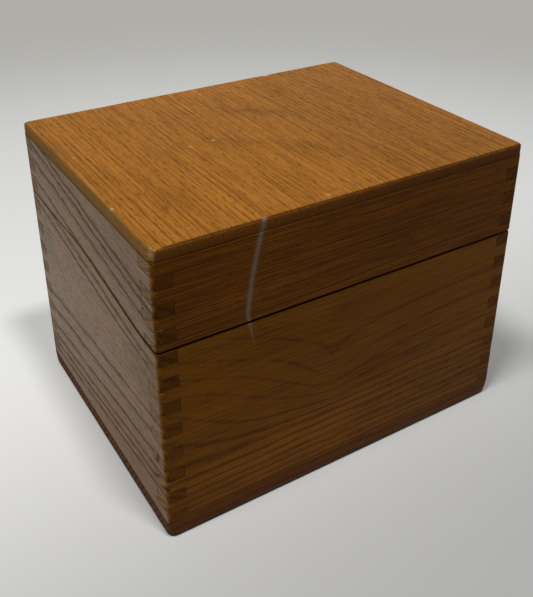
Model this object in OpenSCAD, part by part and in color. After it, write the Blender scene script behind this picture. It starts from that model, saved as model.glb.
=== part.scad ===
// Card file box of finger-jointed oak boards, with a hinged lid that was sawn off the glued-up box.
// Millimetres. The origin is the middle of the base, the front faces -Y and +Z is up.

/* [Box] */
// Outside width, along the front
box_w = 173; // [120:1:260]
// Outside depth, from front to back
box_d = 136; // [110:1:260]
// Outside height with the lid closed
box_h = 133; // [120:1:200]
// Thickness of the front and back boards
front_t = 10; // [8:0.5:12]
// Thickness of the side boards
side_t = 8; // [6:0.5:11]
// Thickness of the panel on top of the lid
top_t = 5; // [3:0.5:10]
// Thickness of the board under the box
bottom_t = 8; // [5:0.5:14]

/* [Lid seam] */
// Height of the body's edge at the front
front_rim_z = 90.5; // [60:0.5:94]
// Height of the body's edge at the back
back_rim_z = 99.2; // [96:0.1:106]
// Distance from the front face to where the side edges start to rise
rise_start = 15; // [12:0.5:30]
// Distance from the front face to where they are level again
rise_end = 71.5; // [50:0.5:90]
// Radius of the bend at the foot of the rise
foot_r = 70; // [10:1:120]
// Radius of the bend at the crest of the rise
crest_r = 150; // [10:1:220]
// Open gap between body and lid at the front
front_gap = 1; // [0.3:0.1:2]
// Gap between body and lid at the back
back_gap = 0.3; // [0.2:0.05:0.6]

/* [Finger joints] */
// Height of one finger
finger_h = 5.5; // [4:0.25:12]

/* [Edges] */
// Radius of the upright corners of the boards
corner_r = 1.6; // [0.5:0.1:4]
// Radius of the rounded lower edge of the bottom board
base_edge_r = 2; // [0.5:0.25:4]
// Radius of the bottom board's upright corners where they meet the table
base_corner_r = 8; // [3:0.5:12]
// Radius of the upright corners of the top panel
top_corner_r = 2; // [0.5:0.1:6]
// Radius of the upper edge of the top panel
top_edge_r = 1.3; // [0.4:0.1:3]

/* [Hinges] */
// Length of a hinge along the back
hinge_l = 25; // [20:1:40]
// Distance from the box's side to the hinge's end
hinge_inset = 22; // [10:1:30]
// Width of a leaf, from the pin's axis to its inner edge
leaf_w = 6.2; // [5.6:0.1:6.4]
// Thickness of a leaf
leaf_t = 0.8; // [0.6:0.1:1]
// Radius of a knuckle
knuckle_r = 1.3; // [1.2:0.05:1.5]
// Number of knuckles, an odd number
knuckles = 5; // [3:2:7]
// Radius of the hinge pin
pin_r = 0.6; // [0.4:0.05:0.8]
// Angle at which the bevelled back edges stop the lid
lid_stop = 105; // [90:1:120]

/* [Screws] */
// Radius of a screw's head
head_r = 1.5; // [1.2:0.1:1.7]
// Radius of a screw's shank
shank_r = 0.85; // [0.6:0.05:1.1]
// Length of a screw
screw_l = 7; // [4:0.5:12]
// Distance from the pin's axis to the screws
screw_y = 4; // [3.5:0.1:4.2]
// Distance from a leaf's end to its screw
screw_end = 5; // [3:0.5:8]

/* [Hidden] */
$fn = 48;

// Clearances
running_fit = 0.05;  // pin in the lid's knuckles
pressed_fit = 0.02;  // pin in the body's knuckles
screw_fit = 0.05;    // screw in leaf and wood
knuckle_gap = 0.2;   // between neighbouring knuckles
swing_gap = 0.3;     // round a turning knuckle
mortise_gap = 0.15;  // round a leaf in the wood
stop_slack = 1;      // degrees left open between each bevel and the stop angle

// Slots of the screw heads, and how far a cut runs past the face it starts from
slot_w = 0.4;
slot_depth = 0.3;
past = 1;

// Derived sizes
side_top = box_h - top_t;
lid_front_z = front_rim_z + front_gap;
lid_back_z = back_rim_z + back_gap;
bevel_w = knuckle_r;
bevel_a = lid_stop / 2 + stop_slack;
axis_y = box_d / 2 - bevel_w;
axis_z = back_rim_z + back_gap / 2;
hinge_x = box_w / 2 - hinge_inset - hinge_l / 2;
knuckle_l = hinge_l / knuckles;
arc_steps = 10;
slice_h = 0.01;

oak = "#9a6a2c";
dark_oak = "#7d5220";
top_oak = "#a9702e";
brass = "#b8953f";

// Points of a circular arc, from angle a0 to angle a1
function arc(c, r, a0, a1) =
    [for (i = [0:arc_steps]) let (a = a0 + (a1 - a0) * i / arc_steps) c + r * [cos(a), sin(a)]];

// The seam seen from the side, from the front face to the back face, between the two given heights:
// level, a bend, a straight rise, a bend the other way and level again
function seam(front_z, back_z) =
    let (a = atan((back_z - front_z) / (rise_end - rise_start)),
        foot = [rise_start - foot_r * tan(a / 2), front_z + foot_r],
        crest = [rise_end + crest_r * tan(a / 2), back_z - crest_r])
    concat([[0, front_z]], arc(foot, foot_r, -90, a - 90), arc(crest, crest_r, a + 90, 90),
        [[box_d, back_z]]);

// An outline of depth and height, carried across the box from one side to the other
module across(points)
    translate([-box_w / 2 - past, -box_d / 2, 0])
        rotate([90, 0, 90])
            linear_extrude(box_w + 2 * past)
                polygon(points);

// A rectangle centred on the origin with rounded corners
module rounded_rect(w, d, r) {
    square([w - 2 * r, d], center = true);
    square([w, d - 2 * r], center = true);
    for (x = [-1, 1], y = [-1, 1])
        translate([x * (w / 2 - r), y * (d / 2 - r)]) circle(r);
}

// A rectangle that stands on the X axis, with its two lower corners rounded
module round_footed(w, h, r) {
    translate([-w / 2, r]) square([w, h - r]);
    translate([-w / 2 + r, 0]) square([w - 2 * r, h]);
    for (x = [-1, 1])
        translate([x * (w / 2 - r), r]) circle(r);
}

// Every second finger of a corner joint, from height z0 to height z1, as blocks of w by d.
// The last finger takes what is left over.
module fingers(z0, z1, first, w, d) {
    step = sign(z1 - z0) * finger_h;
    n = max(1, round(abs(z1 - z0) / finger_h));
    for (i = [first:2:n - 1]) {
        from = z0 + i * step;
        to = i == n - 1 ? z1 + sign(step) * past : from + step;
        translate([-w / 2, -d / 2, min(from, to)]) cube([w, d, abs(to - from)]);
    }
}

// Blocks at both ends of one corner column, a little larger than the corner on its outer faces
module corner_fingers(x, y, z0, z1, first)
    translate([x * (box_w - side_t + past) / 2, y * (box_d - front_t + past) / 2, 0])
        fingers(z0, z1, first, side_t + past, front_t + past);

// What the side boards' fingers take out of the front or back board (y is -1 or 1)
module side_fingers(y, z0, z1, first)
    for (x = [-1, 1]) corner_fingers(x, y, z0, z1, first);

// Everything under the body's edge, and everything over the lid's edge
module body_space()
    across(concat(seam(front_rim_z, back_rim_z), [[box_d, bottom_t], [0, bottom_t]]));
module lid_space()
    across(concat(seam(lid_front_z, lid_back_z), [[box_d, side_top], [0, side_top]]));

// The bevels that stop the lid, cut along the back edge of body and lid
module body_bevel()
    across([[box_d - bevel_w, back_rim_z], [box_d + past, back_rim_z - (bevel_w + past) * tan(bevel_a)],
        [box_d + past, back_rim_z + past], [box_d - bevel_w, back_rim_z + past]]);
module lid_bevel()
    across([[box_d - bevel_w, lid_back_z], [box_d + past, lid_back_z + (bevel_w + past) * tan(bevel_a)],
        [box_d + past, lid_back_z - past], [box_d - bevel_w, lid_back_z - past]]);

// A full-height board with rounded outer corners: front or back (y), left or right (x)
module long_board(y)
    intersection() {
        translate([-box_w / 2, y * (box_d - front_t) / 2 - front_t / 2, 0])
            cube([box_w, front_t, box_h]);
        linear_extrude(box_h) rounded_rect(box_w, box_d, corner_r);
    }
module side_board(x)
    intersection() {
        translate([x * (box_w - side_t) / 2 - side_t / 2, -box_d / 2, 0])
            cube([side_t, box_d, box_h]);
        linear_extrude(box_h) rounded_rect(box_w, box_d, corner_r);
    }

// A cylinder along X, centred on the hinge's axis
module along_axis(r, l)
    translate([0, axis_y, axis_z]) rotate([0, 90, 0]) cylinder(r = r, h = l, center = true);

// Room for one hinge in the wood: a mortise for the leaf and a groove for the knuckles.
// up is 1 for the lid and -1 for the body
module hinge_room(up) {
    rim = up > 0 ? lid_back_z : back_rim_z;
    length = hinge_l + 2 * mortise_gap;
    translate([-length / 2, axis_y - leaf_w - mortise_gap, up > 0 ? rim - past : rim - leaf_t])
        cube([length, leaf_w + mortise_gap, leaf_t + past]);
    along_axis(knuckle_r + swing_gap, length);
    screw_places() translate([0, 0, rim]) mirror([0, 0, up > 0 ? 0 : 1])
        cylinder(r = shank_r + screw_fit, h = screw_l + screw_fit);
}

// The two hinges' places, and the screws' places on a leaf
module both_hinges()
    for (x = [-1, 1]) translate([x * hinge_x, 0, 0]) children();
module screw_places()
    for (x = [-1, 1]) translate([x * (hinge_l / 2 - screw_end), axis_y - screw_y, 0]) children();

// A countersunk screw that stands on its flat head, or the hole for it when grown
module screw(grow) {
    sink = head_r - shank_r;
    tip = 2 * shank_r;
    rotate_extrude($fn = 32)
        polygon([[0, 0], [head_r + grow, 0], [shank_r + grow, sink], [shank_r + grow, screw_l - tip],
            [0, screw_l + grow]]);
}

// One leaf of a hinge. up is 1 for the lid's leaf, with the even knuckles, and -1 for the body's
module leaf(up) {
    rim = up > 0 ? lid_back_z : back_rim_z;
    first = up > 0 ? 1 : 0;
    fit = up > 0 ? running_fit : pressed_fit;
    color(brass)
        difference() {
            union() {
                difference() {
                    translate([-hinge_l / 2, axis_y - leaf_w, up > 0 ? rim : rim - leaf_t])
                        cube([hinge_l, leaf_w, leaf_t]);
                    for (i = [1 - first:2:knuckles - 1])
                        translate([(i - (knuckles - 1) / 2) * knuckle_l, 0, 0])
                            along_axis(knuckle_r + swing_gap, knuckle_l + knuckle_gap);
                }
                for (i = [first:2:knuckles - 1])
                    translate([(i - (knuckles - 1) / 2) * knuckle_l, 0, 0])
                        along_axis(knuckle_r, knuckle_l - knuckle_gap);
            }
            along_axis(pin_r + fit, hinge_l + 2 * past);
            screw_places() translate([0, 0, rim]) mirror([0, 0, up > 0 ? 0 : 1]) screw(screw_fit);
        }
}

// The two screws of one leaf, with slotted heads flush with the leaf
module leaf_screws(up) {
    rim = up > 0 ? lid_back_z : back_rim_z;
    color(brass)
        screw_places() translate([0, 0, rim]) mirror([0, 0, up > 0 ? 0 : 1])
            difference() {
                screw(0);
                translate([-slot_w / 2, -head_r - past, -past])
                    cube([slot_w, 2 * (head_r + past), past + slot_depth]);
            }
}

module hinge_pin() color(brass) along_axis(pin_r, hinge_l);

module body_front()
    color(oak) difference() {
        intersection() { long_board(-1); body_space(); }
        side_fingers(-1, bottom_t, front_rim_z, 0);
    }
module body_back()
    color(oak) difference() {
        intersection() { long_board(1); body_space(); }
        side_fingers(1, bottom_t, back_rim_z, 0);
        body_bevel();
        both_hinges() hinge_room(-1);
    }
module body_side(x)
    color(dark_oak) difference() {
        intersection() { side_board(x); body_space(); }
        corner_fingers(x, -1, bottom_t, front_rim_z, 1);
        corner_fingers(x, 1, bottom_t, back_rim_z, 1);
        body_bevel();
    }
// Slices of the board from the base up: its edge draws in and its upright corners grow rounder downwards
module bottom_board()
    color(dark_oak) hull()
        for (i = [0:arc_steps]) {
            a = 90 * i / arc_steps;
            z = (bottom_t - slice_h) * (1 - cos(a));
            under = max(0, base_edge_r - z);
            inset = base_edge_r - sqrt(base_edge_r * base_edge_r - under * under);
            upright_r = corner_r + (base_corner_r - corner_r) * (1 - sin(a));
            translate([0, 0, z]) linear_extrude(slice_h)
                rounded_rect(box_w - 2 * inset, box_d - 2 * inset, upright_r);
        }

module lid_front()
    color(oak) difference() {
        intersection() { long_board(-1); lid_space(); }
        side_fingers(-1, side_top, lid_front_z, 1);
    }
module lid_back()
    color(oak) difference() {
        intersection() { long_board(1); lid_space(); }
        side_fingers(1, side_top, lid_back_z, 1);
        lid_bevel();
        both_hinges() hinge_room(1);
    }
module lid_side(x)
    color(dark_oak) difference() {
        intersection() { side_board(x); lid_space(); }
        corner_fingers(x, -1, side_top, lid_front_z, 0);
        corner_fingers(x, 1, side_top, lid_back_z, 0);
        lid_bevel();
    }
// The panel on top, drawn upside down: its outline, rounded along all four sides
module lid_top()
    color(top_oak) translate([0, 0, box_h]) mirror([0, 0, 1])
        intersection() {
            linear_extrude(top_t) rounded_rect(box_w, box_d, top_corner_r);
            translate([0, box_d / 2 + past, 0]) rotate([90, 0, 0])
                linear_extrude(box_d + 2 * past) round_footed(box_w, top_t, top_edge_r);
            translate([-box_w / 2 - past, 0, 0]) rotate([90, 0, 90])
                linear_extrude(box_w + 2 * past) round_footed(box_d, top_t, top_edge_r);
        }

body_front();
body_back();
body_side(-1);  // body_left
body_side(1);  // body_right
bottom_board();
lid_front();
lid_back();
lid_side(-1);  // lid_left
lid_side(1);  // lid_right
lid_top();
translate([-hinge_x, 0, 0]) leaf(-1);  // left_hinge_body_leaf
translate([-hinge_x, 0, 0]) leaf(1);  // left_hinge_lid_leaf
translate([-hinge_x, 0, 0]) hinge_pin();  // left_hinge_pin
translate([-hinge_x, 0, 0]) leaf_screws(-1);  // left_hinge_body_screws
translate([-hinge_x, 0, 0]) leaf_screws(1);  // left_hinge_lid_screws
translate([hinge_x, 0, 0]) leaf(-1);  // right_hinge_body_leaf
translate([hinge_x, 0, 0]) leaf(1);  // right_hinge_lid_leaf
translate([hinge_x, 0, 0]) hinge_pin();  // right_hinge_pin
translate([hinge_x, 0, 0]) leaf_screws(-1);  // right_hinge_body_screws
translate([hinge_x, 0, 0]) leaf_screws(1);  // right_hinge_lid_screws
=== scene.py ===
"""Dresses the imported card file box: finger-jointed oak with its grain and eased edges, brass hinges,
a plain pale floor and soft light. Metres throughout; the materials reckon in millimetres.
"""
import math

import bmesh
import bpy
import numpy as np
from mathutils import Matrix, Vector


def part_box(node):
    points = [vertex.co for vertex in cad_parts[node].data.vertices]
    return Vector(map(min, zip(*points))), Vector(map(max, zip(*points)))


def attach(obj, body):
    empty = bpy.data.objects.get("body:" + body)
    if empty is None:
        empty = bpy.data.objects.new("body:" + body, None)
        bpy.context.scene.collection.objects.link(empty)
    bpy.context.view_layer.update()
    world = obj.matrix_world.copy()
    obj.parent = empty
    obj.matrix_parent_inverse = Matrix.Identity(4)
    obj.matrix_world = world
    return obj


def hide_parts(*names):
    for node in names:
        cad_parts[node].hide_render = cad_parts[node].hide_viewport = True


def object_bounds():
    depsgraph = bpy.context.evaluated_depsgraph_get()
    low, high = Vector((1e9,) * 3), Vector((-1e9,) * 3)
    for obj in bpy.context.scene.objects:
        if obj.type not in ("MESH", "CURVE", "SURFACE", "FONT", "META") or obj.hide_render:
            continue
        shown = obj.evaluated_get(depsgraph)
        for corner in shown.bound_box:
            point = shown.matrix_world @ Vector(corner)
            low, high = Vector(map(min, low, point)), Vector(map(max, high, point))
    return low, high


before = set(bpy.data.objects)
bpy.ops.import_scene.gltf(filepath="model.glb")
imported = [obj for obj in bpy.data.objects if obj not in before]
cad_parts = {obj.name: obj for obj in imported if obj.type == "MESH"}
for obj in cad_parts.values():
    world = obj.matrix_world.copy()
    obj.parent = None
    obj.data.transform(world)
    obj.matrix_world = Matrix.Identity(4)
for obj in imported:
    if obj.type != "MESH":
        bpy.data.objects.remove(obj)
cad_lo, cad_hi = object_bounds()

MM = 0.001
PER_METRE = 1000
BOX_W, BOX_D, BOX_H = (cad_hi - cad_lo) / MM
LEFT, FRONT = cad_lo.x / MM, cad_lo.y / MM
SIDE_T = (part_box("body_left")[1].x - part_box("body_left")[0].x) / MM
FRONT_T = (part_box("body_front")[1].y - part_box("body_front")[0].y) / MM
BOTTOM_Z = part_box("bottom_board")[1].z / MM
TOP_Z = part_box("lid_top")[0].z / MM

# Camera, fitted to the box's edges in the photograph
PHOTO_H = 597
FOCAL_PIXELS = 830
AXIS_ROW = 205
SENSOR = 36
CAMERA_AT = (-0.1766, -0.2872, 0.2699)
CAMERA_TURN = (62.88, 0, -31.67)


def make_camera():
    data = bpy.data.cameras.new("camera")
    data.sensor_width = SENSOR
    data.lens = FOCAL_PIXELS * SENSOR / PHOTO_H
    data.shift_y = (AXIS_ROW - PHOTO_H / 2) / PHOTO_H
    camera = bpy.data.objects.new("camera", data)
    camera.location = CAMERA_AT
    camera.rotation_euler = [math.radians(a) for a in CAMERA_TURN]
    bpy.context.scene.collection.objects.link(camera)
    bpy.context.scene.camera = camera


make_camera()
bpy.context.scene.view_settings.view_transform = "Standard"


# Shader expressions

class Value:
    """A number or vector that varies over a surface. Arithmetic on it adds Math nodes to its finish."""

    def __init__(self, finish, socket):
        self.finish = finish
        self.socket = socket

    def out(self, name):
        return Value(self.finish, self.socket.node.outputs[name])

    def math(self, operation, *others):
        return self.finish.node("Math", {"operation": operation}, dict(enumerate((self, *others))))

    def __add__(self, other):
        return self.math("ADD", other)

    def __sub__(self, other):
        return self.math("SUBTRACT", other)

    def __rsub__(self, other):
        return self.finish.node("Math", {"operation": "SUBTRACT"}, {0: other, 1: self})

    def __mul__(self, other):
        return self.math("MULTIPLY", other)

    def __truediv__(self, other):
        return self.math("DIVIDE", other)

    def __neg__(self):
        return self.math("MULTIPLY", -1)

    def __abs__(self):
        return self.math("ABSOLUTE")

    __radd__ = __add__
    __rmul__ = __mul__

    def rise(self, low, high):
        """0 under low, 1 over high and a smooth step between them; low may be the larger one."""
        return self.finish.node("MapRange", {"interpolation_type": "SMOOTHSTEP"},
                                {"Value": self, "From Min": low, "From Max": high})

    def bell(self, place, width):
        """A bell curve that is 1 at the place and falls off over the width."""
        return hump((self - place) / width)

    def at_least(self, least):
        return self.math("MAXIMUM", least)

    def at_most(self, most):
        return self.math("MINIMUM", most)


class Finish:
    """A material whose nodes are added by expressions and by node()."""

    MIX_FACTOR, MIX_A, MIX_B, MIX_COLOUR = 0, 6, 7, 2

    def __init__(self, name, tree=None):
        if tree is None:
            self.material = bpy.data.materials.new(name)
            self.material.use_nodes = True
            tree = self.material.node_tree
        self.tree = tree
        self.tree.nodes.clear()

    def node(self, kind, settings=None, inputs=None, output=0):
        """Adds a node of a type: its settings are set first, then the values or links of its sockets."""
        node = self.tree.nodes.new("ShaderNode" + kind)
        for name, setting in (settings or {}).items():
            setattr(node, name, setting)
        for name, value in (inputs or {}).items():
            if isinstance(value, Value):
                self.tree.links.new(value.socket, node.inputs[name])
            else:
                node.inputs[name].default_value = value
        return Value(self, node.outputs[output] if node.outputs else None)

    def mix(self, factor, a, b):
        colours = {self.MIX_FACTOR: factor, self.MIX_A: paint(a), self.MIX_B: paint(b)}
        return self.node("Mix", {"data_type": "RGBA"}, colours, self.MIX_COLOUR)

    def place(self):
        """The object's own coordinates, in millimetres, as three values."""
        metres = self.node("TexCoord", output="Object")
        where = self.node("VectorMath", {"operation": "SCALE"}, {0: metres, "Scale": PER_METRE})
        split = self.node("SeparateXYZ", inputs={0: where})
        return split.out("X"), split.out("Y"), split.out("Z")

    def facing(self):
        """The surface's own direction, as three values from -1 to 1."""
        split = self.node("SeparateXYZ", inputs={0: self.node("TexCoord", output="Normal")})
        return split.out("X"), split.out("Y"), split.out("Z")

    def scaled(self, colour, factor):
        return self.node("VectorMath", {"operation": "SCALE"}, {0: paint(colour), "Scale": factor})

    def vector(self, x, y, z):
        return self.node("CombineXYZ", inputs={0: x, 1: y, 2: z})

    def noise(self, x, y, z, detail=2, roughness=0.5):
        return self.node("TexNoise", inputs={"Vector": self.vector(x, y, z), "Scale": 1,
                                             "Detail": detail, "Roughness": roughness})

    def cloud(self, place, size, detail, roughness=0.5):
        """Noise of the same size in all directions."""
        return self.noise(*(place[axis] / size for axis in "xyz"), detail, roughness)

    def surface(self, colour, roughness, height, depth, **rest):
        """Closes the material: a Principled BSDF with a bump of the given depth in millimetres."""
        bump = self.node("Bump", inputs={"Distance": depth * MM, "Height": height})
        inputs = {"Base Color": colour, "Roughness": roughness, "Normal": bump, **rest}
        shader = self.node("BsdfPrincipled", inputs=inputs)
        self.node("OutputMaterial", inputs={"Surface": shader})
        return self.material


def paint(colour):
    """A colour given as three numbers gets its fourth."""
    return colour if isinstance(colour, Value) else (*colour, 1)


def hump(*distances):
    """e to the minus sum of the squared distances: 1 where all of them are 0."""
    return (-sum(away * away for away in distances)).math("EXPONENT")


# Oak: tones of the late wood, of the early wood in each ring and of the open pores

FRONT_OAK = dict(late=(0.200, 0.071, 0.003), early=(0.092, 0.029, 0.001), pore=(0.050, 0.015, 0.001))
LID_OAK = dict(late=(0.165, 0.052, 0.002), early=(0.080, 0.024, 0.001), pore=(0.045, 0.012, 0.001))
END_OAK = dict(late=(0.160, 0.052, 0.003), early=(0.095, 0.030, 0.002), pore=(0.055, 0.016, 0.001))
SIDE_OAK = dict(late=(0.275, 0.118, 0.012), early=(0.140, 0.056, 0.005), pore=(0.070, 0.026, 0.003))
TOP_OAK = dict(late=(0.312, 0.121, 0.014), early=(0.175, 0.063, 0.007), pore=(0.090, 0.029, 0.003))
PANEL_END_OAK = dict(late=(0.300, 0.100, 0.010), early=(0.220, 0.072, 0.007), pore=(0.150, 0.045, 0.004))
BASE_OAK = dict(late=(0.140, 0.044, 0.004), early=(0.088, 0.026, 0.002), pore=(0.040, 0.012, 0.001))
# Tone for the panel's left-facing edge alone, yellower to offset the blue that edge reflects: a colour set
# by how light falls on that side
PANEL_LEFT_OAK = (0.37, 0.21, 0.055)
RAW_OAK = (0.42, 0.25, 0.11)
WORN_OAK = (0.36, 0.18, 0.05)
# Near black: painted shade in the joint creases, along the seam, at the foot and in the open joint, and the
# tone of the two corner dents
SHADE_AND_DENT_TONE = (0.010, 0.005, 0.002)
# Painted shade along the panel's front arris
ARRIS_SHADE = (0.03, 0.010, 0.002)

# Varnish: thin all over, thick on the faces that look to the left
VARNISH_IOR = 1.13
THICK_VARNISH_IOR = 1.45
THICK_VARNISH_ROUGHNESS = 0.35
THICKEST_GLOSS = 0.33

# Grain, in millimetres: lengths run along it and widths across it. A pore shows where its noise is high.
PORE_LENGTH, PORE_WIDTH = 5.0, 0.38
PORE_NOISE = (0.59, 0.71)
FIBRE_LENGTH, FIBRE_SHIFT = 26.0, 40
BAND_LENGTH, BAND_WIDTH = 60, 5
CHIP_SIZE, SMUDGE_SIZE = 4, 14
GRAIN_DEPTH = 0.10

# How much of the early wood's tone shows everywhere, in the rings, in the fibres and in the wide bands
EARLY_SHARE, RING_SHARE, FIBRE_SHARE, BAND_SHARE = 0.32, 0.62, 3.2, 0.7
PORE_SHARE, INSIDE_SHARE = 0.5, 0.55

# Roughness of the varnished face, and what pores, end grain, smudges and a thinner coat add to it
SATIN = 0.30
PORE_ROUGHER, END_ROUGHER, SMUDGE_ROUGHER, THIN_ROUGHER = 0.16, 0.14, 0.22, 1.4

# Worn and shaded places: the rounded upright corners, the creases of the finger joints, which get painted
# shade, the heights between which the seam lies, each with its fade, where the rims get painted shade, and
# the heights over which the rubbed edges grow
ARRIS = 1.8
CREASE_REACH, CREASE_FADE, CREASE_SHADE_SHARE = 0.6, 0.3, 0.85
SEAM_UNDER = (TOP_Z - 15, TOP_Z - 20)
SEAM_OVER = (BOTTOM_Z + 60, BOTTOM_Z + 70)
RUBBED_FROM, RUBBED_TO = 112, 131


class Patch:
    """A soft oval area of a face: middle, half lengths, turn in degrees and how much darker it is."""

    def __init__(self, u, v, long, wide, turn, darker):
        self.u, self.v, self.long, self.wide, self.darker = u, v, long, wide, darker
        self.cosine, self.sine = math.cos(math.radians(turn)), math.sin(math.radians(turn))

    def drawn(self, u, v):
        away_u, away_v = u - self.u, v - self.v
        along = (away_u * self.cosine + away_v * self.sine) / self.long
        across = (away_v * self.cosine - away_u * self.sine) / self.wide
        return hump(along, across) * self.darker


def edge_masks(place, facing):
    """Two masks from 0 to 1: creases in the joints, and the rubbed edges everywhere else."""
    across, back = abs(place["x"]), abs(place["y"])
    flattest = abs(facing["x"]).at_least(abs(facing["y"])).at_least(abs(facing["z"]))
    slanting = (1 - flattest).rise(0.02, 0.12)

    def beyond(x, y):
        return across.rise(x, x + CREASE_FADE) * back.rise(y, y + CREASE_FADE)

    fingers = beyond(BOX_W / 2 - SIDE_T - CREASE_REACH, BOX_D / 2 - FRONT_T - CREASE_REACH)
    fingers = fingers * place["z"].rise(TOP_Z + 0.5, TOP_Z)
    arris = beyond(BOX_W / 2 - ARRIS, BOX_D / 2 - ARRIS)
    joint = place["z"].bell(TOP_Z, 0.45).at_least(place["z"].bell(BOTTOM_Z, 0.35))
    joint = joint.at_least(fingers * (1 - arris))
    return slanting * joint, slanting * (1 - joint)


def wear_and_painted_shade(f, colour, place, facing):
    """Painted shade in the creases of the joints and on the eased edges and level rim faces along the seam,
    and edges rubbed pale towards the top.
    """
    crease_shade, rubbed = edge_masks(place, facing)
    level = abs(facing["z"])
    by_seam = place["z"].rise(*SEAM_UNDER) * place["z"].rise(*SEAM_OVER)
    # Painted shade: the eased edges and level rim faces along the seam are darkened towards near black, so
    # the seam shows as a dark shadowed line.
    seam_shade = by_seam * (0.9 * rubbed * level.rise(0.15, 0.35) + 0.45 * level.rise(0.9, 1)).at_most(1)
    chips = f.cloud(place, CHIP_SIZE, detail=3, roughness=0.7).rise(0.35, 0.65)
    pale = rubbed * (1 - by_seam) * chips * (0.10 + 0.14 * place["z"].rise(RUBBED_FROM, RUBBED_TO))
    colour = f.mix(seam_shade, colour, SHADE_AND_DENT_TONE)
    colour = f.mix(pale, colour, WORN_OAK)
    # Painted shade: the creases of the joints are darkened towards near black.
    return f.mix(crease_shade * CREASE_SHADE_SHARE, colour, SHADE_AND_DENT_TONE)


def oak(name, tones, axes, rings, inside, patches=(), ends=None, marks=None, contrast=1, fine=0.5,
        gloss=0.3):
    """Stained and varnished oak, cut from one solid piece of wood.

    axes names the coordinate along the grain, the one across it and the one into the board. rings turns
    them into a darkness from 0 to 1 for the growth rings, and each ring is a band of crowded pores.
    inside is 1 on faces that look into the box. patches are soft light and dark areas, ends gives the end
    grain's tones and how much darker it is, marks draws over the finished colour, contrast is the strength
    of the fibres, fine their width and gloss the weight of the thick varnish on faces that look to the left.
    """
    f = Finish(name)
    place = dict(zip("xyz", f.place()))
    facing = dict(zip("xyz", f.facing()))
    along, across, deep = (place[a] for a in axes)
    ring = rings(f, along, across, deep)

    def streaks(length, width, shift, detail):
        return f.noise(along / length, across / width + shift, deep / width, detail, roughness=0.6)

    pores = (streaks(PORE_LENGTH, PORE_WIDTH, shift=0, detail=1) + 0.15 * ring).rise(*PORE_NOISE)
    fibres = streaks(FIBRE_LENGTH, fine, FIBRE_SHIFT, detail=2)
    bands = f.noise(along / BAND_LENGTH, across / BAND_WIDTH, deep / BAND_WIDTH, detail=2)
    early = EARLY_SHARE + RING_SHARE * ring
    early = early + FIBRE_SHARE * contrast * (fibres - 0.5) + BAND_SHARE * (bands - 0.5)
    early = early.rise(0, 1)

    def stained(stain):
        wood = f.mix(early, stain["late"], stain["early"])
        return f.mix(pores * PORE_SHARE * contrast, wood, stain["pore"])

    end = abs(facing[axes[0]]).rise(0.6, 0.9)
    end_tones, end_shade = ends or (tones, plain_ends)
    colour = f.mix(end, stained(tones), stained(end_tones))
    if patches:
        colour = f.scaled(colour, 1 - sum(patch.drawn(across, along) for patch in patches))
    colour = f.scaled(colour, 1 - end * end_shade(place))
    colour = wear_and_painted_shade(f, colour, place, facing)
    colour = f.mix(inside(place, facing) * INSIDE_SHARE, colour, RAW_OAK)
    if marks:
        colour = marks(f, colour, place, facing)

    smudges = f.cloud(place, SMUDGE_SIZE, detail=3, roughness=0.6)
    to_left = (-facing["x"]).rise(0.8, 0.97)
    unsealed = (ring + 0.6 * pores).at_most(1)
    varnish = gloss * to_left * (0.75 + smudges * 0.5) * (1 - 0.95 * unsealed)
    roughness = SATIN + PORE_ROUGHER * pores + END_ROUGHER * end + SMUDGE_ROUGHER * (smudges - 0.35)
    roughness = roughness + THIN_ROUGHER * (THICKEST_GLOSS - gloss) * to_left
    height = 1 - pores * 0.8 - ring * 0.2 + 0.25 * fibres
    return f.surface(colour, roughness, height, GRAIN_DEPTH, **{
        "IOR": VARNISH_IOR, "Coat Weight": varnish,
        "Coat IOR": THICK_VARNISH_IOR, "Coat Roughness": THICK_VARNISH_ROUGHNESS})


def looks_in(axis, sign):
    """Faces that look into the box, for a board whose outer face looks along sign times the axis."""
    return lambda place, facing: (facing[axis] * -sign).rise(0.5, 0.9)


def ring_lines(s, heights, width):
    """Thin rings at the given heights of s: each a bell curve, with the darkest of them showing."""
    lines = s.bell(heights[0], width)
    for height in heights[1:]:
        lines = lines.at_least(s.bell(height, width))
    return lines


def fading_rings(f, s, spacing, spread, seed):
    """Growth rings across s: sharp at their start, fading over each ring, at uneven distances."""
    uneven = f.noise(s / (spacing * 3.5), seed, 0.0, 1)
    phase = (s / spacing + uneven * spread).math("FRACT")
    return (1 - phase.rise(0.05, 0.55)) * phase.rise(0.0, 0.06)


def waves(f, along, across, deep, sizes, reach, detail):
    """A slow wander of the rings by up to half the reach either way: noise with a size in each direction."""
    wander = f.noise(along / sizes[0], across / sizes[1], deep / sizes[2], detail)
    return reach * (wander - 0.5)


# Figure of the body's front: rings dip to a point under the seam and run level below it.
# Heights are those of each ring at the board's right end.
FRONT_RINGS = (74.5, 63.8, 55.9, 48.5, 40.6, 35.2, 31.3, 27.3, 23.3, 19.3, 16.0, 12.6, 9.3)
DIP_X, DIP_REACH, DIP_DEPTH = -9.5, 24, 15
LEFT_RISE = 0.30
FRONT_RING_WIDTH = 0.7

# Heights between which the dip deepens, the dip eases again, the rise to the left steepens, the rings
# below come out clear and those above turn faint, and the places from left to right where they gain
DIP_DEEPENS, DIP_EASES, LEFT_STEEPENS = (32, 54), (56, 70), (24, 66)
CLEAR_UNDER, FAINT_OVER, LEFT_GAINS = (52, 38), (36, 52), (-65, -10)


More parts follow.
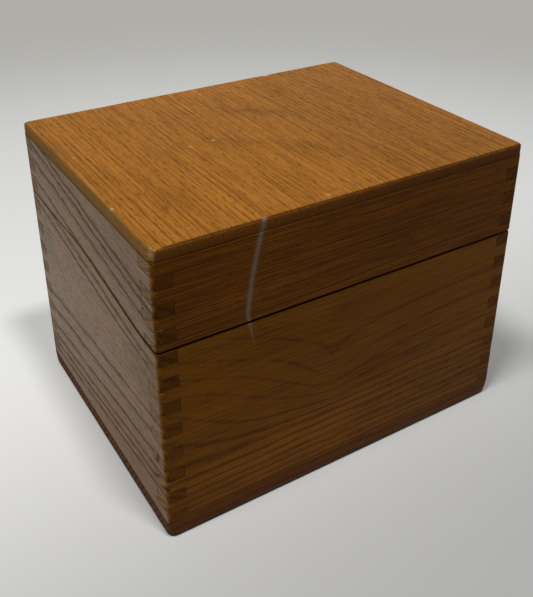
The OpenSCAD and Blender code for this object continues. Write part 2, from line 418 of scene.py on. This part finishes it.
def front_rings(f, along, across, deep):
    """The height, with a dip that falls off exponentially to both sides and a rise towards the left."""
    away = abs(along - DIP_X)
    dip = DIP_DEPTH * across.rise(*DIP_DEEPENS) * (1 - 0.3 * across.rise(*DIP_EASES))
    vee = (-(away / DIP_REACH)).math("EXPONENT")
    left = (DIP_X - along).at_least(0) * LEFT_RISE * across.rise(*LEFT_STEEPENS)
    wander = waves(f, along, across, deep, sizes=(22, 12, 16), reach=2.0, detail=3)
    s = across + dip * vee - left + wander + 0.5 * (deep - FRONT)
    broken = 0.3 + 0.7 * f.noise(along / 20, across / 5, 9.0, 1).rise(0.35, 0.6)
    clear = broken * (0.55 + 0.45 * along.rise(*LEFT_GAINS))
    clear = clear + (0.85 - clear) * across.rise(*CLEAR_UNDER)
    clear = clear * (1 - 0.25 * across.rise(*FAINT_OVER))
    lines = ring_lines(s, FRONT_RINGS, FRONT_RING_WIDTH) * clear
    return (lines + 0.15 * fading_rings(f, s, spacing=2.6, spread=1.2, seed=3.3)).at_most(1)


# Lid front: nearly straight rings, by their heights at the board's left end
LID_FRONT_RINGS = (126.2, 122.6, 117.6, 114.5, 110.3, 106.0, 101.5, 98.3, 94.5)
LID_RING_WIDTH = 0.45


def lid_front_rings(f, along, across, deep):
    """The height, with a slight rise towards the right near the seam."""
    bend = 3.0 * (along / 60).rise(-0.6, 0.9) * (1 - across.rise(100, 112))
    wander = waves(f, along, across, deep, sizes=(40, 9, 16), reach=1.5, detail=2)
    s = across - bend + wander + 0.5 * (deep - FRONT)
    lines = ring_lines(s, LID_FRONT_RINGS, LID_RING_WIDTH) * 0.6
    return (lines + 0.4 * fading_rings(f, s, spacing=1.4, spread=1.4, seed=5.9)).at_most(1)


# Left side: rings fan out from a plain zone, falling to the front over it and rising to the front under
# it. Heights are those of each ring at the back.
LEFT_RINGS = (131.0, 126.5, 119.5, 109.5, 102.5, 97.0, 47.5, 38.0, 28.0, 21.0, 16.0, 11.5)
LEFT_RING_WIDTH = 1.0
FAN_TURNS, FAN_SLOPE_LOW, FAN_SLOPE_GAIN = (52, 86), -0.085, 0.23


def left_rings(f, along, across, deep):
    """The height plus the distance from the back times a slope that turns over between two heights."""
    from_back = BOX_D / 2 - along
    slope = across.rise(*FAN_TURNS) * FAN_SLOPE_GAIN + FAN_SLOPE_LOW
    wander = waves(f, along, across, deep, sizes=(26, 12, 14), reach=2.6, detail=3)
    s = across + from_back * slope + wander + 0.6 * (deep - LEFT)
    crowded = along.rise(-30, -48) * across.rise(60, 66) * across.rise(84, 78)
    lines = ring_lines(s, LEFT_RINGS, LEFT_RING_WIDTH)
    lines = lines + 0.8 * crowded * fading_rings(f, s, spacing=2.0, spread=0.8, seed=8.7)
    return (lines + 0.25 * fading_rings(f, s, spacing=3.4, spread=1.4, seed=7.1)).at_most(1)


def plain_rings(spacing, tilt, slope, seed, strength=0.8):
    """Rings for the faces that have no figure of their own: even, sloping and tilted into the board."""
    def rings(f, along, across, deep):
        wander = waves(f, along, across, deep + 16 * seed, sizes=(45, 16, 16), reach=2.4, detail=2)
        s = across + along * slope + wander + deep * tilt
        return fading_rings(f, s, spacing, spread=1.5, seed=seed) * strength
    return rings


def side_ends(place):
    """The side boards' fingers show darker in the front, most under the lid and less towards the base."""
    return 0.04 + 0.26 * place["z"].rise(35, 100)


def plain_ends(place):
    """Other end grain is a little darker than its tones all over."""
    return 0.08


def panel_ends(place):
    """The panel's front edge is darker towards the right."""
    return 0.42 + 0.10 * place["x"].rise(-60, 30)


# A pale smear of crayon runs down the front, over the panel's edge and onto the body. Its middle is at
# SMEAR_X at the height SMEAR_LOW, bends to the right above it and leans to the right below it.
SMEAR_TONE = (0.19, 0.155, 0.115)
SMEAR_X, SMEAR_LOW, SMEAR_SLOPE, SMEAR_BEND, SMEAR_LEAN = -49.4, 95, 0.10, 0.0026, 0.18
SMEAR_THIN, SMEAR_WIDER = 0.45, 0.55


def with_smear(f, colour, place, facing):
    """The smear across its course is e to the minus square of the distance over its width, and waxy."""
    x, z = place["x"], place["z"]
    lift, drop = (z - SMEAR_LOW).at_least(0), (SMEAR_LOW - z).at_least(0)
    course = SMEAR_X + lift * (SMEAR_SLOPE + SMEAR_BEND * lift) + SMEAR_LEAN * drop
    width = SMEAR_THIN + SMEAR_WIDER * z.rise(84, 100)
    waxy = f.noise(x / 0.5, z / 1.4, 3.0, 3, 0.7).rise(0.30, 0.62)
    smear = hump((x - course) / width) * (0.45 + 0.4 * waxy)
    smear = smear * z.rise(76, 92) * (-facing["y"]).rise(0.1, 0.5)
    return f.mix(smear, colour, SMEAR_TONE)


# The lid's lowest finger at the near left corner has opened: its side shows dark, as painted shade, and its
# lower edge pale
FINGER_TOP, FINGER_H = 106.0, 5.5
FINGER_FOOT = FINGER_TOP - FINGER_H
GAP_TONE = (0.40, 0.24, 0.09)
GAP_WIDTH = 0.65
NOTCH_FOOT, NOTCH_TOP = 88.4, 93.7

# Two dents in the near left corner, by height and half height
CORNER_DENTS = ((26.5, 0.8), (20.5, 0.6))


def with_corner_dents(f, colour, place, facing):
    """Two dark dents in the corner, the open finger's pale edge and the smear."""
    x, y, z = place["x"], place["y"], place["z"]
    dents = sum(z.bell(height, half) for height, half in CORNER_DENTS)
    dents = dents * x.rise(1.8 - BOX_W / 2, 1.2 - BOX_W / 2) * y.rise(-65, -66)
    colour = f.mix(dents * 0.85, colour, SHADE_AND_DENT_TONE)
    pale = z.bell(FINGER_FOOT, 0.42) * x.rise(4 - BOX_W / 2, 2 - BOX_W / 2) * y.rise(-50, -55)
    return with_smear(f, f.mix(pale * 0.8, colour, GAP_TONE), place, facing)


def with_contact_shade(f, colour, place, facing):
    """Painted contact shade where the base meets the table: darkened below 1.8 mm towards near black."""
    return f.mix(place["z"].rise(1.8, 0.6) * 0.8, colour, SHADE_AND_DENT_TONE)


def with_open_joint_shade(f, colour, place, facing):
    """Painted shade: a dark gap beside the open finger and a short one under the seam, where the front board
    ends, painted near black on the flat face as the shade inside the joint.
    """
    y, z = place["y"], place["z"]
    beside = z.rise(FINGER_FOOT - 0.3, FINGER_FOOT) * z.rise(FINGER_TOP + 7, FINGER_TOP + 4)
    at_seam = z.rise(NOTCH_FOOT, NOTCH_FOOT + 0.8) * z.rise(NOTCH_TOP, NOTCH_TOP - 0.6)
    gap = y.bell(FRONT_T - BOX_D / 2, GAP_WIDTH) * (beside + at_seam).at_most(1)
    return f.mix(gap * (-facing["x"]).rise(0.5, 0.9) * 0.92, colour, SHADE_AND_DENT_TONE)


# Nicks in the top: x and y of the middle, and the radius
TOP_NICKS = ((-12.0, -64.5, 0.8), (-35.3, 2.5, 0.7), (-24.0, 3.8, 0.8), (-81.0, 17.1, 0.8),
             (-85.2, -33.4, 0.9), (-85.8, -67.2, 1.1), (41.2, 67.2, 1.5))
NICK_TONE = (0.62, 0.44, 0.28)
NICK_GRAIN = 0.6


def with_nicks(f, colour, place, facing):
    """Pale nicks, the panel's left-facing edge in a yellower tone against the blue it reflects and darkened
    with painted shade where it rounds over, painted shade along its front arris, the smear.
    """
    nicks = sum(hump((place["x"] - x) / radius, (place["y"] - y) / radius) for x, y, radius in TOP_NICKS)
    ragged = f.cloud(place, NICK_GRAIN, detail=2).rise(0.3, 0.6)
    nicks = (nicks * ragged).at_most(1) * place["z"].rise(TOP_Z + 1, TOP_Z + 2)
    colour = f.mix(nicks * 0.6, colour, NICK_TONE)
    # The left-facing edge: tinted against its reflected blue, then darkened with painted shade where it
    # rounds over.
    left_band_tint_and_shade = (-facing["x"]).rise(0.12, 0.4)
    colour = f.mix(left_band_tint_and_shade * 0.6, colour, PANEL_LEFT_OAK)
    colour = f.scaled(colour, 1 - 0.55 * left_band_tint_and_shade * facing["z"].rise(0.05, 0.4))
    # Painted shade: a dark line along the panel's front arris, where the rounding turns from the top.
    arris = facing["z"].bell(0.72, 0.2) * (-facing["y"]).rise(0.25, 0.4) * place["x"].rise(-84, -80)
    colour = f.mix(arris * 0.85, colour, ARRIS_SHADE)
    return with_smear(f, colour, place, facing)


# Light and dark areas: the middle across the grain and along it, the half lengths in the same order,
# the turn in degrees and how much darker the area is
FRONT_PATCHES = (
    Patch(80, 5, 7, 20, 0, 0.16),
    Patch(78, -36, 6, 12, 10, 0.14),
    Patch(81, -17, 5, 7, 0, -0.12),
    Patch(60, -62, 12, 16, 0, -0.10),
    # Painted light: this wide patch lightens the lower front, as light bounced up from the floor would.
    Patch(22, -30, 16, 80, 0, -0.42),
    Patch(62, 60, 16, 22, 0, -0.08),
)
LID_FRONT_PATCHES = (
    Patch(112, 10, 6, 40, 4, 0.10),
    Patch(104, -55, 6, 18, 0, -0.15),
    Patch(110, -30, 30, 30, 0, -0.10),
)
LEFT_PATCHES = (
    Patch(78, 52, 8, 10, 0, 0.35),
    Patch(70, 0, 7, 30, 4, -0.10),
    Patch(115, -40, 20, 30, 0, 0.15),
)
TOP_PATCHES = (
    Patch(-18, 47, 16, 3.5, -36, -0.16),
    Patch(10, 24, 20, 5, -38, 0.24),
    Patch(8, -24, 18, 6, -52, 0.20),
    Patch(-17, -2, 13, 5, -34, 0.17),
    Patch(-60, -38, 9, 12, 0, 0.16),
    Patch(-46, -45, 6, 22, 0, -0.12),
    Patch(58, -5, 22, 50, 0, 0.07),
    Patch(4, 50, 4, 14, -20, 0.16),
    Patch(-2, -12, 4, 40, 0, -0.08),
    Patch(-70, 20, 10, 40, 0, -0.06),
    Patch(56, 62, 12, 8, -40, 0.12),
    Patch(10, 80, 80, 30, 0, -0.24),
    Patch(62, -55, 40, 28, 0, 0.13),
)

front_oak = oak("oak_front", FRONT_OAK, "xzy", front_rings, looks_in("y", -1), FRONT_PATCHES,
                (SIDE_OAK, plain_ends), with_corner_dents, contrast=0.85, fine=0.36)
lid_front_oak = oak("oak_lid_front", LID_OAK, "xzy", lid_front_rings, looks_in("y", -1),
                    LID_FRONT_PATCHES, (SIDE_OAK, plain_ends), with_corner_dents,
                    contrast=1.1, fine=0.45)
back_oak = oak("oak_back", FRONT_OAK, "xzy",
               plain_rings(spacing=4.6, tilt=-0.5, slope=0.03, seed=11.3), looks_in("y", 1),
               ends=(SIDE_OAK, plain_ends))
left_oak = oak("oak_left", SIDE_OAK, "yzx", left_rings, looks_in("x", -1), LEFT_PATCHES,
               (END_OAK, side_ends), with_open_joint_shade, contrast=1.1, gloss=THICKEST_GLOSS)
right_oak = oak("oak_right", SIDE_OAK, "yzx",
                plain_rings(spacing=5.0, tilt=-0.7, slope=-0.04, seed=19.7), looks_in("x", 1),
                ends=(END_OAK, side_ends))
top_oak = oak("oak_top", TOP_OAK, "yxz",
              plain_rings(spacing=2.7, tilt=0.4, slope=0.0, seed=23.9, strength=0.45), looks_in("z", 1),
              TOP_PATCHES, (PANEL_END_OAK, panel_ends), with_nicks, contrast=1.6, fine=0.40, gloss=0.02)
base_oak = oak("oak_base", BASE_OAK, "xyz",
               plain_rings(spacing=3.4, tilt=0.8, slope=0.02, seed=31.1), looks_in("z", -1),
               marks=with_contact_shade, gloss=0.15)

# Brass: tones bright and tarnished, brush marks along and across the leaf, patches of tarnish
HINGE_TONES = ((0.62, 0.42, 0.16), (0.26, 0.15, 0.05))
SCREW_TONES = ((0.66, 0.47, 0.20), (0.30, 0.18, 0.07))
BRUSH_LENGTH, BRUSH_WIDTH, BRUSH_DEPTH = 6, 0.15, 0.02
TARNISH_SIZE = 3


def brass(name, bright, dark):
    """Aged brass: brushed lines along the leaf and soft brown tarnish."""
    f = Finish(name)
    x, y, z = f.place()
    brushed = f.noise(x / BRUSH_LENGTH, y / BRUSH_WIDTH, z / BRUSH_WIDTH, detail=2)
    tarnish = f.cloud(dict(x=x, y=y, z=z), TARNISH_SIZE, detail=4, roughness=0.65).rise(0.45, 0.70)
    colour = f.mix(tarnish * 0.6, bright, dark)
    roughness = 0.28 + 0.15 * brushed + 0.2 * tarnish
    return f.surface(colour, roughness, brushed, BRUSH_DEPTH, Metallic=1)


hinge_brass = brass("hinge_brass", *HINGE_TONES)
screw_brass = brass("screw_brass", *SCREW_TONES)

for node_name, node_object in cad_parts.items():
    if "hinge" in node_name:
        node_object.data.materials.clear()
        node_object.data.materials.append(screw_brass if "screws" in node_name else hinge_brass)

# Panel and base: rounded rectangles stacked into a slab

ARC_STEPS = 10
SIDE_STEPS = 90
PANEL_CORNER_R, PANEL_EDGE_R = 2.0, 1.3
BASE_CORNER_R, BASE_EDGE_R = 8.0, 2.0
UPRIGHT_R = 1.6
PANEL_EASE = 0.3
CAP_RIM = 0.9
EASE_STEPS, CROWN_STEPS = 3, 8
LEAST_R = 0.3
DENT_REACH = 3
WEAR_DEPTH, NICK_DEPTH = 0.05, 0.35
WEAR_WAVES = ((0.21, 0.13, 0), (0.083, -0.17, 1))
LEAST_REACH = 1e-6


def outline(insets, radii):
    """A row of points for each inset and corner radius: corner centre plus radius times (cos a, sin a),
    then even steps along the straight side to the next corner."""
    signs = np.array([(1, 1), (-1, 1), (-1, -1), (1, -1)])
    half = np.array([BOX_W / 2, BOX_D / 2])
    centres = signs * (half - (insets + radii)[:, None, None])
    angles = np.pi / 2 * (np.arange(4)[:, None] + np.linspace(0, 1, ARC_STEPS + 1))
    spokes = np.stack([np.cos(angles), np.sin(angles)], axis=-1)
    arcs = centres[:, :, None] + radii[:, None, None, None] * spokes
    steps = (np.arange(1, SIDE_STEPS) / SIDE_STEPS)[:, None]
    sides = arcs[:, :, -1:] * (1 - steps) + np.roll(arcs, -1, axis=1)[:, :, :1] * steps
    return np.concatenate([arcs, sides], axis=2).reshape(len(insets), -1, 2)


def quarter(radius, steps):
    """Inset and height along a quarter circle that turns from upright to level: r(1 - cos a), r sin a."""
    a = np.linspace(0, np.pi / 2, steps + 1)
    return radius * (1 - np.cos(a)), radius * np.sin(a)


def dented(points):
    """Moves each point inwards, away from its nearest face, by a dent: one plus the product of two sines
    along every edge, plus a bell curve e to the minus square of the distance from each nick."""
    inner_lo = (DENT_REACH - BOX_W / 2, DENT_REACH - BOX_D / 2, BOX_H - DENT_REACH)
    inner_hi = (BOX_W / 2 - DENT_REACH, BOX_D / 2 - DENT_REACH, BOX_H - DENT_REACH)
    outward = points - np.clip(points, inner_lo, inner_hi)
    reach = np.linalg.norm(outward, axis=-1, keepdims=True)
    x, y = points[..., 0:1], points[..., 1:2]
    product = 1
    for rate_x, rate_y, start in WEAR_WAVES:
        product = product * np.sin(rate_x * x + rate_y * y + start)
    wear = WEAR_DEPTH * (1 + product)
    for nick_x, nick_y, radius in TOP_NICKS:
        near = np.exp(-((x - nick_x) ** 2 + (y - nick_y) ** 2) / radius ** 2)
        wear = wear + NICK_DEPTH * radius * near
    slanting = np.clip(reach - DENT_REACH, 0, 1)
    return points - outward / np.maximum(reach, LEAST_REACH) * wear * slanting


def make_slab(name, insets, radii, heights, body, node, finish, shaping=None):
    """Carries the outline up through the given heights, closes it with two flat faces and dresses it."""
    flat = outline(insets, radii)
    points = np.concatenate([flat, np.broadcast_to(heights[:, None, None], flat.shape[:2] + (1,))], axis=-1)
    if shaping:
        points = shaping(points)
    rows, around = points.shape[:2]
    index = np.arange(rows * around).reshape(rows, around)
    after = np.roll(index, -1, axis=1)
    walls = np.stack([index[:-1], after[:-1], after[1:], index[1:]], axis=-1).reshape(-1, 4)
    faces = walls.tolist() + [index[0, ::-1].tolist(), index[-1].tolist()]
    mesh = bpy.data.meshes.new(name)
    mesh.from_pydata((points.reshape(-1, 3) * MM).tolist(), [], faces)
    mesh.polygons.foreach_set("use_smooth", np.ones(len(mesh.polygons), bool))
    mesh.materials.append(finish)
    slab = bpy.data.objects.new(name, mesh)
    bpy.context.scene.collection.objects.link(slab)
    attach(slab, body)
    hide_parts(node)


def make_panel():
    """The panel's edge: a small quarter circle at its foot, an upright band and a larger quarter circle."""
    foot, foot_up = quarter(PANEL_EASE, EASE_STEPS)
    crown, crown_up = quarter(PANEL_EDGE_R, CROWN_STEPS)
    insets = np.concatenate([[PANEL_EASE + CAP_RIM], foot[::-1], crown, [PANEL_EDGE_R + CAP_RIM]])
    heights = np.concatenate([[TOP_Z], TOP_Z + PANEL_EASE - foot_up[::-1],
                              BOX_H - PANEL_EDGE_R + crown_up, [BOX_H]])
    radii = np.maximum(PANEL_CORNER_R - insets, LEAST_R)
    make_slab("oak_panel", insets, radii, heights, "lid", "lid_top", top_oak, dented)


def make_base():
    """The base draws in over its lowest edge by a quarter circle, while the radius of its upright corners
    grows downwards by one minus the sine of the angle."""
    a = np.linspace(0, np.pi / 2, 2 * ARC_STEPS + 1)
    rise = BOTTOM_Z * (1 - np.cos(a))
    under = np.maximum(BASE_EDGE_R - rise, 0)
    drawn_in = BASE_EDGE_R - np.sqrt(BASE_EDGE_R ** 2 - under ** 2)
    rounding = UPRIGHT_R + (BASE_CORNER_R - UPRIGHT_R) * (1 - np.sin(a))
    insets = np.concatenate([[BASE_EDGE_R + CAP_RIM], drawn_in, [JOINT_EASE, CAP_RIM]])
    heights = np.concatenate([[0], np.minimum(rise, BOTTOM_Z - JOINT_EASE), [BOTTOM_Z, BOTTOM_Z]])
    radii = np.concatenate([[BASE_CORNER_R], rounding, [UPRIGHT_R, UPRIGHT_R]])
    make_slab("oak_base_board", insets, radii, heights, "body", "bottom_board", base_oak)


# Boards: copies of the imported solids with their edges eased, where the two faces turn sharply enough

RIM_EASE = 0.35
JOINT_EASE = 0.14
EASE_SEGMENTS = 2
SHARP = math.radians(25)
FLAT = math.radians(0.3)
NEAR = 0.02
SAME_PLACE = 1e-6
HINGE_ROOM, HINGE_HEIGHT = 1.0, 12
CORNER_ROOM = 0.4
CUT_X, CUT_Y = (size / 2 - UPRIGHT_R - CORNER_ROOM for size in (BOX_W, BOX_D))

BOARDS = {
    "body_front": front_oak,
    "body_back": back_oak,
    "body_left": left_oak,
    "body_right": right_oak,
    "lid_front": lid_front_oak,
    "lid_back": back_oak,
    "lid_left": left_oak,
    "lid_right": right_oak,
}


def read(items, name, size=1, kind=float):
    """One property of every item of a mesh as an array of the given row length."""
    values = np.empty(len(items) * size, kind)
    items.foreach_get(name, values)
    return values.reshape(-1, size) if size > 1 else values


def edge_bends(mesh):
    """The angle between the two faces at each edge: twice the arc cosine of half the length of the sum of
    their normals."""
    corners = read(mesh.polygons, "loop_total", kind=int)
    normals = np.repeat(read(mesh.polygons, "normal", 3), corners, axis=0)
    summed = np.zeros((len(mesh.edges), 3))
    np.add.at(summed, read(mesh.loops, "edge_index", kind=int), normals)
    return 2 * np.arccos(np.clip(np.linalg.norm(summed, axis=1) / 2, 0, 1))


def edge_eases(mesh, body):
    """How far each edge is eased: little in the joints, more along the seam, and not at all by the hinges
    and round the upright back corners, where short edges have no room for it."""
    ends = read(mesh.vertices, "co", 3)[read(mesh.edges, "vertices", 2, int)] / MM
    x, y, z = ends[..., 0], ends[..., 1], ends[..., 2]
    side = 1 if body == "body" else 0
    rims = [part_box(f"{body}_{wall}")[side].z / MM for wall in ("front", "back")]
    in_corner = (abs(x) > BOX_W / 2 - SIDE_T - NEAR) & (abs(y) > BOX_D / 2 - FRONT_T - NEAR)
    at_rim = abs(z - np.where(y < 0, *rims)) < NEAR
    leaf_lo, leaf_hi = (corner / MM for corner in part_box(f"right_hinge_{body}_leaf"))
    by_hinge = (abs(x) > leaf_lo.x - HINGE_ROOM) & (abs(x) < leaf_hi.x + HINGE_ROOM)
    by_hinge &= (y > leaf_lo.y - HINGE_ROOM) & (abs(z - rims[1]) < HINGE_HEIGHT)
    ease = np.full(len(mesh.edges), RIM_EASE)
    ease[(in_corner & ~at_rim).any(axis=1) & in_corner.all(axis=1)] = JOINT_EASE
    ease[(abs(z - BOTTOM_Z) < NEAR).all(axis=1)] = JOINT_EASE
    ease[(abs(z - TOP_Z) < NEAR).all(axis=1)] = PANEL_EASE
    ease[by_hinge.all(axis=1)] = 0
    ease[edge_bends(mesh) < SHARP] = 0
    ease[((abs(x) > CUT_X - NEAR) & (y > CUT_Y - NEAR)).all(axis=1)] = 0
    return ease


def at_back(part):
    """Whether a corner, edge or face of a mesh lies wholly behind the cut before the back corners."""
    return all(corner.co.y > CUT_Y * MM - SAME_PLACE for corner in getattr(part, "verts", [part]))


def merged_copy(name, source):
    """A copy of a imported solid's mesh with its loose triangles joined into flat faces, cut across just
    before the round back corners so that each eased edge ends squarely there."""
    work = bmesh.new()
    work.from_mesh(source.data)
    bmesh.ops.remove_doubles(work, verts=work.verts, dist=SAME_PLACE)
    bmesh.ops.dissolve_limit(work, angle_limit=FLAT, verts=work.verts, edges=work.edges)
    everything = [*work.verts, *work.edges, *work.faces]
    bmesh.ops.bisect_plane(work, geom=everything, dist=SAME_PLACE, plane_co=(0, CUT_Y * MM, 0),
                           plane_no=(0, 1, 0))
    for side in (1, -1):
        behind = [part for part in (*work.verts, *work.edges, *work.faces) if at_back(part)]
        bmesh.ops.bisect_plane(work, geom=behind, dist=SAME_PLACE, plane_co=(side * CUT_X * MM, 0, 0),
                               plane_no=(1, 0, 0))
    mesh = bpy.data.meshes.new(name)
    work.to_mesh(mesh)
    work.free()
    return mesh


def make_board(node, finish):
    """A copy whose bevel weights hold each edge's ease as a share of the largest."""
    name = "oak_" + node
    body = node.split("_")[0]
    slot = "oak_" + body
    mesh = merged_copy(name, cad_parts[node])
    mesh.materials.clear()
    mesh.materials.append(finish)
    weights = mesh.attributes.new("bevel_weight_edge", "FLOAT", "EDGE")
    weights.data.foreach_set("value", edge_eases(mesh, body) / RIM_EASE)
    board = bpy.data.objects.new(name, mesh)
    bpy.context.scene.collection.objects.link(board)
    bevel = board.modifiers.new("eased edges", "BEVEL")
    bevel.limit_method = "WEIGHT"
    bevel.width = RIM_EASE * MM
    bevel.segments = EASE_SEGMENTS
    bevel.use_clamp_overlap = False
    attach(board, body)
    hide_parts(node)


for node_name, finish in BOARDS.items():
    make_board(node_name, finish)
make_panel()
make_base()


# Floor, background and light. The floor shows in two tones, by the distances FLOOR_DIM_Y to FLOOR_BRIGHT_Y
# from front to back, a painted falloff of light that dims it towards the front; it lights the box in a
# third, and fades into the background from FLOOR_NEAR to FLOOR_FAR.

WALL_GREY = (0.43, 0.42, 0.39)
FLOOR_BRIGHT = (0.79, 0.79, 0.76)
FLOOR_DIM = (0.39, 0.39, 0.38)
FLOOR_BOUNCE = (0.27, 0.27, 0.26)
FLOOR_DIM_Y, FLOOR_BRIGHT_Y = -170, 100
FLOOR_NEAR, FLOOR_FAR = 330, 800
FLOOR_HALF = 3.0
FLOOR_ROUGHNESS = 0.7


def seen(f):
    """1 for rays that show the floor or background itself: from the camera, off gloss or through glass."""
    path = f.node("LightPath")
    rays = path.out("Is Camera Ray") + path.out("Is Glossy Ray") + path.out("Is Transmission Ray")
    return rays.at_most(1)


def make_floor():
    """A level sheet with painted light, brighter behind the box than in front of it, that fades into the
    background.
    """
    corners = FLOOR_HALF * np.array([(-1, -1, 0), (1, -1, 0), (1, 1, 0), (-1, 1, 0)])
    mesh = bpy.data.meshes.new("floor")
    mesh.from_pydata(corners.tolist(), [], [(0, 1, 2, 3)])
    f = Finish("floor")
    x, y = f.place()[:2]
    # Painted light: the colour the camera sees falls from FLOOR_BRIGHT behind the box to FLOOR_DIM in front,
    # as light falling off.
    shown = f.mix(y.rise(FLOOR_DIM_Y, FLOOR_BRIGHT_Y), FLOOR_DIM, FLOOR_BRIGHT)
    tone = f.mix(seen(f), FLOOR_BOUNCE, shown)
    near = f.node("BsdfPrincipled", inputs={"Base Color": tone, "Roughness": FLOOR_ROUGHNESS})
    far = f.node("Emission", inputs={"Color": paint(WALL_GREY)})
    distance = (x * x + y * y).math("SQRT")
    share = distance.rise(FLOOR_NEAR, FLOOR_FAR) * seen(f)
    f.node("OutputMaterial", inputs={"Surface": f.node("MixShader", inputs={0: share, 1: near, 2: far})})
    mesh.materials.append(f.material)
    floor = bpy.data.objects.new("floor", mesh)
    bpy.context.scene.collection.objects.link(floor)


# Three soft lamps high up: how far each throws the shadow of the box's top in x and y, and its share of
# the watts
LAMPS = {"lamp_front": ((0, 40), 0.36), "lamp_left": ((45, 9), 0.27), "lamp_corner": ((32, 22), 0.29)}
LAMP_HEIGHT = 1.3
LAMP_SIZE = 0.16
LAMP_WATTS = 20


def make_lamps():
    for name, ((throw_x, throw_y), share) in LAMPS.items():
        data = bpy.data.lights.new(name, "AREA")
        data.shape = "DISK"
        data.size = LAMP_SIZE
        data.energy = LAMP_WATTS * share
        lamp = bpy.data.objects.new(name, data)
        lamp.location = Vector((-throw_x / BOX_H, -throw_y / BOX_H, 1)) * LAMP_HEIGHT
        lamp.rotation_euler = (-lamp.location).to_track_quat("-Z", "Y").to_euler()
        bpy.context.scene.collection.objects.link(lamp)


WORLD_LIGHT = (0.08, 0.085, 0.09)


def make_world():
    world = bpy.data.worlds.new("studio")
    bpy.context.scene.world = world
    world.use_nodes = True
    f = Finish("studio", world.node_tree)
    background = f.node("Background", inputs={"Color": f.mix(seen(f), WORLD_LIGHT, WALL_GREY)})
    f.node("OutputWorld", inputs={"Surface": background})


make_floor()
make_world()
make_lamps()
